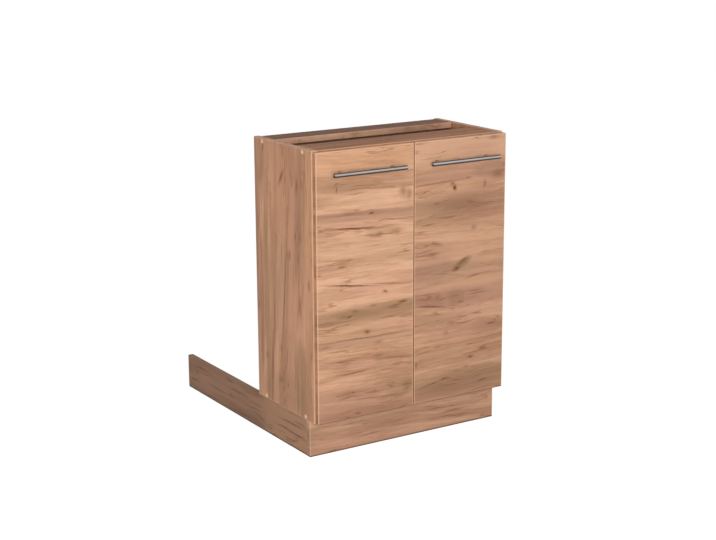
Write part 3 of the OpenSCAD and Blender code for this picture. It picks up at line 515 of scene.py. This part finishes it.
# painted light and shade along the boards' edges: arris highlights, a lit front edge, shade in the door
# gap and along the foot
def oakEdgeLightAndShade(wood, colour, name, look):
    place = wood.place
    low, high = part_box(name)
    if "paintedFrontLight" in look:
        # painted light: the front edge is made lighter than the lying face, as if it caught more light
        onFront = (place[1] - low[1]).rise(*edges["front"])
        colour = wood.mix(onFront, colour, wood.tint(colour, look["paintedFrontLight"]))

    # painted highlight: a thin light line along the arrises
    x, y, z = [(place[i] - low[i]).lower(high[i] - place[i]) for i in range(3)]
    if name.startswith("door"):
        z = high[2] - place[2]
    else:
        y = place[1] - low[1]
    second = x.lower(y).upper(x.upper(y).lower(z))
    arrisHighlight = second.rise(*edges["arris"]["width"]) * look["arrisHighlight"]
    if "gapSide" in look:
        gap = edges["gap"]
        inner, outer = (high[0], low[0]) if look["gapSide"] > 0 else (low[0], high[0])
        fromInner, fromOuter = (place[0] - inner).size(), (place[0] - outer).size()
        behind = (place[1] - low[1]).rise(*gap["behind"])
        # painted shade on the edge that faces the other door, behind its arris
        gapShade = fromInner.rise(*gap["face"]) * behind
        colour = wood.mix(gapShade * gap["share"], colour, oak["gap"])
        arrisHighlight = arrisHighlight * (1.0 - gapShade) * (1.0 - fromInner.rise(*gap["dull"]) * look["gapDull"])
        # the edge on the other side is a little redder
        onEdge = fromOuter.rise(*gap["face"]) * behind
        colour = wood.mix(onEdge, colour, wood.tint(colour, gap["redder"]))
    colour = wood.mix(arrisHighlight * edges["arris"]["share"], colour, oak["arris"])
    if "foot" in look:
        # painted shade: a thin dark line along the lower edge
        foot = edges["foot"]
        footShadeShare = (place[2] - low[2]).rise(look["foot"], look["foot"] * foot["soft"])
        colour = wood.mix(footShadeShare * foot["share"], colour, oak["lip"])
    return colour


for name, look in boards.items():
    setFinish(name, oakBoard(name, look))
print("oak laid on", len(boards), "boards")


# How the fine grain and the stains of metal and plastic darken and roughen them: the noise's detail,
# the values between which the darker colour comes up, its share, and the change of roughness.
coats = {
    "metal": {
        "grain": {"detail": 3.0, "from": (0.35, 0.75), "share": 0.60, "rough": 0.14},
        "stain": {"scale": (22.0, 22.0, 22.0), "detail": 3.0, "from": (0.5, 0.8), "share": 0.25,
                  "rough": 0.08},
        "bump": (0.12, 0.0002),
        "metal": 1.0,
    },
    "plastic": {
        "grain": {"detail": 2.0, "from": (0.4, 0.7), "share": 0.35, "rough": 0.20},
        "stain": {"scale": (40.0, 40.0, 40.0), "detail": 3.0, "from": (0.5, 0.8), "share": 0.35,
                  "rough": 0.10},
        "bump": (0.20, 0.0002),
        "metal": 0.0,
    },
}

# the colours of each metal and plastic, and the scale of its fine grain along x, y and z
looks = {
    "nickel": {"coat": "metal", "colour": (0.68, 0.665, 0.63), "dark": (0.50, 0.49, 0.46),
               "rough": 0.30, "grain": (60.0, 60.0, 60.0)},
    "zinc": {"coat": "metal", "colour": (0.70, 0.71, 0.73), "dark": (0.50, 0.52, 0.55),
             "rough": 0.34, "grain": (120.0, 120.0, 120.0)},
    # painted reflection: the posts' steel is tinted brown as if it reflected the oak
    "postSteelPaintedOakReflection": {"coat": "metal", "colour": (0.46, 0.38, 0.33), "dark": (0.34, 0.28, 0.24),
                  "rough": 0.34, "grain": (200.0, 200.0, 200.0)},
    "pinSteel": {"coat": "metal", "colour": (0.52, 0.52, 0.53), "dark": (0.36, 0.36, 0.37),
                 "rough": 0.36, "grain": (700.0, 700.0, 90.0)},
    "capBeige": {"coat": "plastic", "colour": (0.84, 0.56, 0.35), "dark": (0.70, 0.44, 0.27),
                 "rough": 0.45, "grain": (1500.0, 1500.0, 1500.0)},
    "clipWhite": {"coat": "plastic", "colour": (0.78, 0.78, 0.76), "dark": (0.66, 0.66, 0.63),
                  "rough": 0.42, "grain": (1200.0, 1200.0, 1200.0)},
    "legBlack": {"coat": "plastic", "colour": (0.030, 0.030, 0.032), "dark": (0.014, 0.014, 0.015),
                 "rough": 0.46, "grain": (1400.0, 1400.0, 1400.0)},
    "bumperClear": {"coat": "plastic", "colour": (0.72, 0.71, 0.68), "dark": (0.58, 0.57, 0.54),
                    "rough": 0.30, "grain": (900.0, 900.0, 900.0)},
}


def coatedFinish(name, look):
    finish = Finish(name)
    coat = coats[look["coat"]]
    fine, spots = coat["grain"], coat["stain"]
    grain = finish.grain(look["grain"], fine["detail"])
    stain = finish.grain(spots["scale"], spots["detail"])
    colour = finish.darken(look["colour"], look["dark"], grain, fine)
    colour = finish.darken(colour, look["dark"], stain, spots)
    rough = look["rough"] + (grain - 0.5) * fine["rough"] + (stain - 0.5) * spots["rough"]
    relief = finish.bump(grain, *coat["bump"])
    return finish.shader(color=colour, rough=rough, metal=coat["metal"], normal=relief)


# painted reflection on brushed steel: bright along the bar's face, dark where it turns away above and
# below
handles = {
    "reflectedBright": (0.52, 0.465, 0.435),
    "turned": (0.052, 0.047, 0.045),
    "rimSheen": (0.40, 0.375, 0.355),
    "band": (0.10, 0.54),           # shares of the bar's radius over which it darkens
    "rimSheenFrom": (0.86, 0.97),
    "bandLift": 0.0014,
    "brush": {"scale": (14.0, 1400.0, 1400.0), "detail": 3.0, "ragged": 0.10, "rough": 0.16},
    "smear": {"scale": (18.0, 60.0, 60.0), "detail": 3.0, "from": (0.5, 0.8), "share": 0.18},
    "rough": 0.24,
    "bump": (0.10, 0.0002),
}


def handleFinish():
    steel = Finish("handleSteelPaintedReflection")
    low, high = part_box("handle_bar_left")
    middle, half = (low[2] + high[2]) / 2, (high[2] - low[2]) / 2
    height = steel.place[2] - middle
    rise = ((height - handles["bandLift"]) * (1 / half)).size()
    rimSheen = (height * (1 / half)).size().rise(*handles["rimSheenFrom"])
    line, blur = handles["brush"], handles["smear"]
    brush = steel.grain(line["scale"], line["detail"])
    smear = steel.grain(blur["scale"], blur["detail"])
    # painted reflection: bright on the bar's face, dark above and below, grey again at the rim
    share = (rise + (brush - 0.5) * line["ragged"]).rise(*handles["band"])
    colour = steel.mix(share, handles["reflectedBright"], handles["turned"])
    colour = steel.mix(rimSheen, colour, handles["rimSheen"])
    colour = steel.darken(colour, handles["turned"], smear, blur)
    rough = handles["rough"] + (brush - 0.5) * line["rough"]
    relief = steel.bump(brush, *handles["bump"])
    return steel.shader(color=colour, rough=rough, metal=1.0, normal=relief)


# boards without the oak pattern; the back panel's side towards the inside has a lighter coat
plainWoods = {
    "beech": {"light": (0.68, 0.47, 0.28), "dark": (0.55, 0.36, 0.20), "grain": (12.0, 300.0, 300.0)},
    "backBoard": {"light": (0.345, 0.225, 0.150), "dark": (0.300, 0.192, 0.126),
                  "grain": (220.0, 40.0, 60.0), "inner": ((0.70, 0.45, 0.29), (0.62, 0.38, 0.235))},
}
# what the two have in common, in the same terms as the coats above
plainCoat = {
    "grain": {"detail": 4.0, "roughness": 0.6, "from": (0.35, 0.70)},
    "fleck": {"scale": (900.0, 900.0, 500.0), "from": (0.6, 0.8), "share": 0.30, "rough": 0.20},
    "inside": (0.0012, 0.0004),     # distance from the inner side over which its coat ends
    "rough": 0.62,
    "bump": (0.20, 0.0003),
}


def plainWood(name, look):
    wood = Finish(name)
    fine, spots = plainCoat["grain"], plainCoat["fleck"]
    grain = wood.grain(look["grain"], fine["detail"], fine["roughness"]).rise(*fine["from"])
    fleck = wood.grain(spots["scale"])
    colour = wood.darken(wood.mix(grain, look["light"], look["dark"]), look["dark"], fleck, spots)
    if "inner" in look:
        onInside = (wood.place[1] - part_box("back_panel")[0][1]).rise(*plainCoat["inside"])
        colour = wood.mix(onInside, colour, wood.mix(grain, *look["inner"]))
    rough = plainCoat["rough"] + (fleck - 0.5) * spots["rough"]
    return wood.shader(color=colour, rough=rough, normal=wood.bump(fleck, *plainCoat["bump"]))


made = {"handle": handleFinish()}
for key, look in looks.items():
    made[key] = coatedFinish(key, look)
for key, look in plainWoods.items():
    made[key] = plainWood(key, look)

wears = {
    "handle": ["handle_bar_left", "handle_bar_right"],
    "postSteelPaintedOakReflection": ["handle_posts_left", "handle_posts_right"],
    "nickel": ["hinge_plates", "hinge_arms", "hinge_cups_left", "hinge_cups_right", "long_links_left",
               "long_links_right", "short_links_left", "short_links_right"],
    "zinc": ["shelf_pins", "carcass_screws", "hinge_plate_screws", "plinth_corner_bracket",
             "plinth_screws", "leg_screws", "cup_screws_left", "cup_screws_right", "handle_screws_left",
             "handle_screws_right"],
    "pinSteel": ["hinge_arm_pins", "hinge_cup_pins_left", "hinge_cup_pins_right"],
    "capBeige": ["screw_caps"],
    "clipWhite": ["plinth_clips"],
    "legBlack": ["leg_flanges", "leg_tubes"],
    "bumperClear": ["door_bumpers_left", "door_bumpers_right"],
    "beech": ["dowels"],
    "backBoard": ["back_panel"],
}
for key, names in wears.items():
    for name in names:
        setFinish(name, made[key])


# where the legs stand; each foot's stem shows its screw thread
legs = {
    "spots": {"front_left": (-0.250, -0.2725), "front_right": (0.250, -0.2725),
              "rear_left": (-0.250, -0.0975), "rear_right": (0.250, -0.0975)},
    "pitch": 0.004,
    "stemFrom": (0.0082, 0.0090),   # heights over the foot's sole
    # painted shade in the thread's grooves
    "groove": {"from": (0.9, -0.9), "share": 0.4},
    "height": {"thread": 0.5, "grain": 0.05},
    "bump": (0.8, 0.0007),
}


def footFinish(name, spot):
    look, fine, groove = looks["legBlack"], coats["plastic"]["grain"], legs["groove"]
    plastic = Finish(name)
    x, y, z = plastic.place
    grain = plastic.grain(look["grain"], fine["detail"])
    turn = (y - spot[1]).angle(x - spot[0])
    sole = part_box(name)[0][2]
    onStem = z.rise(*[sole + height for height in legs["stemFrom"]])
    thread = (z * (2 * math.pi / legs["pitch"]) - turn).wave() * onStem
    colour = plastic.darken(look["colour"], look["dark"], grain, fine)
    # painted shade: the thread's grooves are darkened
    grooveShadeShare = thread.rise(*groove["from"]) * onStem * groove["share"]
    colour = plastic.mix(grooveShadeShare, colour, look["dark"])
    rough = look["rough"] + (grain - 0.5) * fine["rough"]
    height = thread * legs["height"]["thread"] + grain * legs["height"]["grain"]
    return plastic.shader(color=colour, rough=rough, normal=plastic.bump(height, *legs["bump"]))


for place, spot in legs["spots"].items():
    setFinish("foot_" + place, footFinish("foot_" + place, spot))
print("metal, plastic and plain wood finishes set")


def shadeCadNodes(angle):
    bpy.ops.object.select_all(action="DESELECT")
    for piece in nodes.values():
        piece.select_set(True)
        bpy.context.view_layer.objects.active = piece
        bpy.ops.object.shade_smooth_by_angle(angle=math.radians(angle))
        piece.select_set(False)


shadeCadNodes(angle=28)


def selectAll():
    bpy.ops.mesh.select_all(action="SELECT")


def startBar(name, look, spot):
    # a bar that points away from a leg's middle, left in edit mode
    inner, outer, low, high = look["inner"], look["outer"], look["low"], look["high"]
    bpy.ops.object.select_all(action="DESELECT")
    bpy.ops.mesh.primitive_cube_add(size=1.0, location=(0, 0, 0))
    piece = bpy.context.object
    piece.name = name
    bpy.ops.object.mode_set(mode="EDIT")
    selectAll()
    bpy.ops.transform.resize(value=(outer - inner, look["thick"], high - low))
    bpy.ops.transform.translate(value=(spot[0] + (inner + outer) / 2, spot[1], (low + high) / 2))
    return piece


def slantAndRing(look, corner, slant, spot):
    # cuts off what lies outside a slanting plane, rounds the edges and copies the bar round the leg
    selectAll()
    bpy.ops.mesh.bisect(plane_co=corner, plane_no=slant, use_fill=True, clear_outer=True)
    selectAll()
    bpy.ops.mesh.bevel(offset=look["edge"], segments=2, affect="EDGES")
    selectAll()
    count = look["count"]
    bpy.ops.mesh.spin(steps=count - 1, dupli=True, angle=math.radians(360 - 360 / count),
                      center=(spot[0], spot[1], 0), axis=(0, 0, 1))


def finishPiece(piece, material, body, angle=30):
    selectAll()
    bpy.ops.mesh.normals_make_consistent(inside=False)
    bpy.ops.object.mode_set(mode="OBJECT")
    bpy.ops.object.shade_smooth_by_angle(angle=math.radians(angle))
    piece.data.materials.clear()
    piece.data.materials.append(material)
    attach(piece, body)


# moulded gussets that stiffen a leg under its flange
gussets = {"inner": 0.0152, "outer": 0.0262, "toe": 0.0176, "low": 0.0785, "high": 0.0963,
           "lip": 0.0018, "thick": 0.0024, "count": 4, "edge": 0.0004}


def legGussets(place, spot):
    g = gussets
    piece = startBar("gussets_" + place, g, spot)
    slant = Vector((g["high"] - g["lip"] - g["low"], 0, g["toe"] - g["outer"])).normalized()
    slantAndRing(g, (spot[0] + g["toe"], spot[1], g["low"]), slant, spot)
    finishPiece(piece, made["legBlack"], "carcass")


# short ribs round a foot, for turning it by hand
ribs = {"inner": 0.0169, "outer": 0.0214, "crest": 0.0279, "low": 0.0046, "high": 0.0090,
        "thick": 0.0016, "count": 16, "edge": 0.0003, "slant": (0.7071, 0, 0.7071)}


def footRibs(place, spot):
    r = ribs
    piece = startBar("ribs_" + place, r, spot)
    slantAndRing(r, (spot[0] + r["crest"] - r["high"], spot[1], r["high"]), r["slant"], spot)
    finishPiece(piece, made["legBlack"], "foot_" + place)


# the closing spring, wound round a hinge's rear pin between the arm's cheeks
springs = {"coil": 0.0019, "wire": 0.00042, "height": 0.0042, "turns": 4, "steps": 20, "sides": 10,
           "side": 0.267, "back": -0.3248, "levels": {"lower": 0.202, "upper": 0.717}}


def hingeSpring(name, spot):
    s = springs
    bpy.ops.object.select_all(action="DESELECT")
    bpy.ops.mesh.primitive_circle_add(vertices=s["sides"], radius=s["wire"], location=(0, 0, 0))
    piece = bpy.context.object
    piece.name = name
    bpy.ops.object.mode_set(mode="EDIT")
    selectAll()
    bpy.ops.transform.rotate(value=math.pi / 2, orient_axis="X", center_override=(0, 0, 0))
    bpy.ops.transform.translate(value=(s["coil"], 0, -s["height"] / 2))
    bpy.ops.object.mode_set(mode="OBJECT")
    winding = piece.modifiers.new("winding", "SCREW")
    winding.axis = "Z"
    winding.angle = 2 * math.pi
    winding.screw_offset = s["height"] / s["turns"]
    winding.iterations = s["turns"]
    winding.steps = s["steps"]
    winding.render_steps = s["steps"]
    bpy.ops.object.modifier_apply(modifier="winding")
    bpy.ops.object.mode_set(mode="EDIT")
    selectAll()
    bpy.ops.mesh.fill_holes(sides=0)
    selectAll()
    bpy.ops.transform.translate(value=spot)
    finishPiece(piece, made["pinSteel"], "carcass", angle=60)


for place, spot in legs["spots"].items():
    legGussets(place, spot)
    footRibs(place, spot)
for side, sign in (("left", -1), ("right", 1)):
    for level, height in springs["levels"].items():
        hingeSpring("spring_%s_%s" % (side, level), (sign * springs["side"], springs["back"], height))
print("gussets, foot ribs and springs built")


studio = {
    "ambient": 0.37,        # soft light from all round
    "floorGlow": 0.70,      # what makes the pale floor white to the camera
    "floorSize": 40.0,
    "floorLevel": -0.0002,
    "floorGrain": (2.0, 2.0, 1.0),
    "floorTones": ((0.80, 0.80, 0.80), (0.84, 0.84, 0.84)),
    "lamps": [              # place, size in metres, power in watts, what it is aimed at
        ((-1.5, -3.1, 1.15), 1.3, 66.0, (-0.1, -0.35, 0.50)),
        ((2.4, -1.4, 1.3), 1.4, 7.0, (0.0, -0.2, 0.4)),
    ],
}


def makeWorld():
    world = bpy.data.worlds.new("studioAir")
    scene.world = world
    world.use_nodes = True
    tree = world.node_tree
    tree.nodes.clear()

    def add(kind, *links):
        made = tree.nodes.new(kind)
        for i, link in enumerate(links):
            tree.links.new(link, made.inputs[i])
        return made

    def air(strength):
        made = add("ShaderNodeBackground")
        made.inputs[0].default_value = (1, 1, 1, 1)
        made.inputs[1].default_value = strength
        return made.outputs[0]

    def either(a, b):
        made = add("ShaderNodeMath", a, b)
        made.operation = "MAXIMUM"
        return made.outputs[0]

    # the camera, metal and glass see plain white; everything else is lit by the ambient light
    rays = add("ShaderNodeLightPath").outputs
    seen = either(either(rays["Is Camera Ray"], rays["Is Glossy Ray"]), rays["Is Transmission Ray"])
    mixer = add("ShaderNodeMixShader", seen, air(studio["ambient"]), air(1.0))
    add("ShaderNodeOutputWorld", mixer.outputs[0])


def makeFloor():
    bpy.ops.mesh.primitive_plane_add(size=studio["floorSize"], location=(0, 0, studio["floorLevel"]))
    floor = bpy.context.object
    floor.name = "floor"
    pale = Finish("paleFloor")
    colour = pale.mix(pale.grain(studio["floorGrain"]), *studio["floorTones"])
    rays = pale.node("ShaderNodeLightPath").outputs
    matt = pale.node("ShaderNodeBsdfDiffuse", None, {"Color": colour}).outputs[0]
    glow = pale.node("ShaderNodeEmission", None, {
        "Color": (1.0, 1.0, 1.0), "Strength": studio["floorGlow"]}).outputs[0]
    both = pale.node("ShaderNodeAddShader", None, {0: matt, 1: glow}).outputs[0]
    seen = Value(pale, rays["Is Camera Ray"]).upper(Value(pale, rays["Is Glossy Ray"]))
    pick = pale.node("ShaderNodeMixShader", None, {0: seen, 1: matt, 2: both}).outputs[0]
    pale.node("ShaderNodeOutputMaterial", None, {0: pick})
    floor.data.materials.append(pale.material)


def makeLamps():
    for i, (place, size, power, aim) in enumerate(studio["lamps"]):
        lamp = bpy.data.lights.new("softbox%d" % i, "AREA")
        lamp.shape = "SQUARE"
        lamp.size = size
        lamp.energy = power
        holder = bpy.data.objects.new("softbox%d" % i, lamp)
        scene.collection.objects.link(holder)
        holder.location = place
        holder.rotation_mode = "QUATERNION"
        holder.rotation_quaternion = (Vector(aim) - Vector(place)).to_track_quat("-Z", "Y")


# the photograph's viewpoint, worked out from the cabinet's own corners; angles in radians
view = {
    "place": (-2.204204, -3.582360, 1.435962),
    "turn": 0.562777,
    "down": 0.240970,
    "roll": -0.005250,
    "lens": 76.348,
    "sensor": 36.0,
    "reach": 60.0,
}


def makeCamera():
    turn, down, roll = view["turn"], view["down"], view["roll"]
    ahead = Vector((math.sin(turn) * math.cos(down), math.cos(turn) * math.cos(down), -math.sin(down)))
    right = Vector((math.cos(turn), -math.sin(turn), 0))
    up = right.cross(ahead)
    rolledRight = math.cos(roll) * right + math.sin(roll) * up
    rolledUp = math.cos(roll) * up - math.sin(roll) * right
    data = bpy.data.cameras.new("camera")
    data.lens = view["lens"]
    data.sensor_width = view["sensor"]
    data.clip_end = view["reach"]
    camera = bpy.data.objects.new("camera", data)
    scene.collection.objects.link(camera)
    camera.rotation_mode = "QUATERNION"
    camera.rotation_quaternion = Matrix((rolledRight, rolledUp, -ahead)).transposed().to_quaternion()
    camera.location = view["place"]
    scene.camera = camera


makeWorld()
makeFloor()
makeLamps()
makeCamera()
print("studio and camera ready")
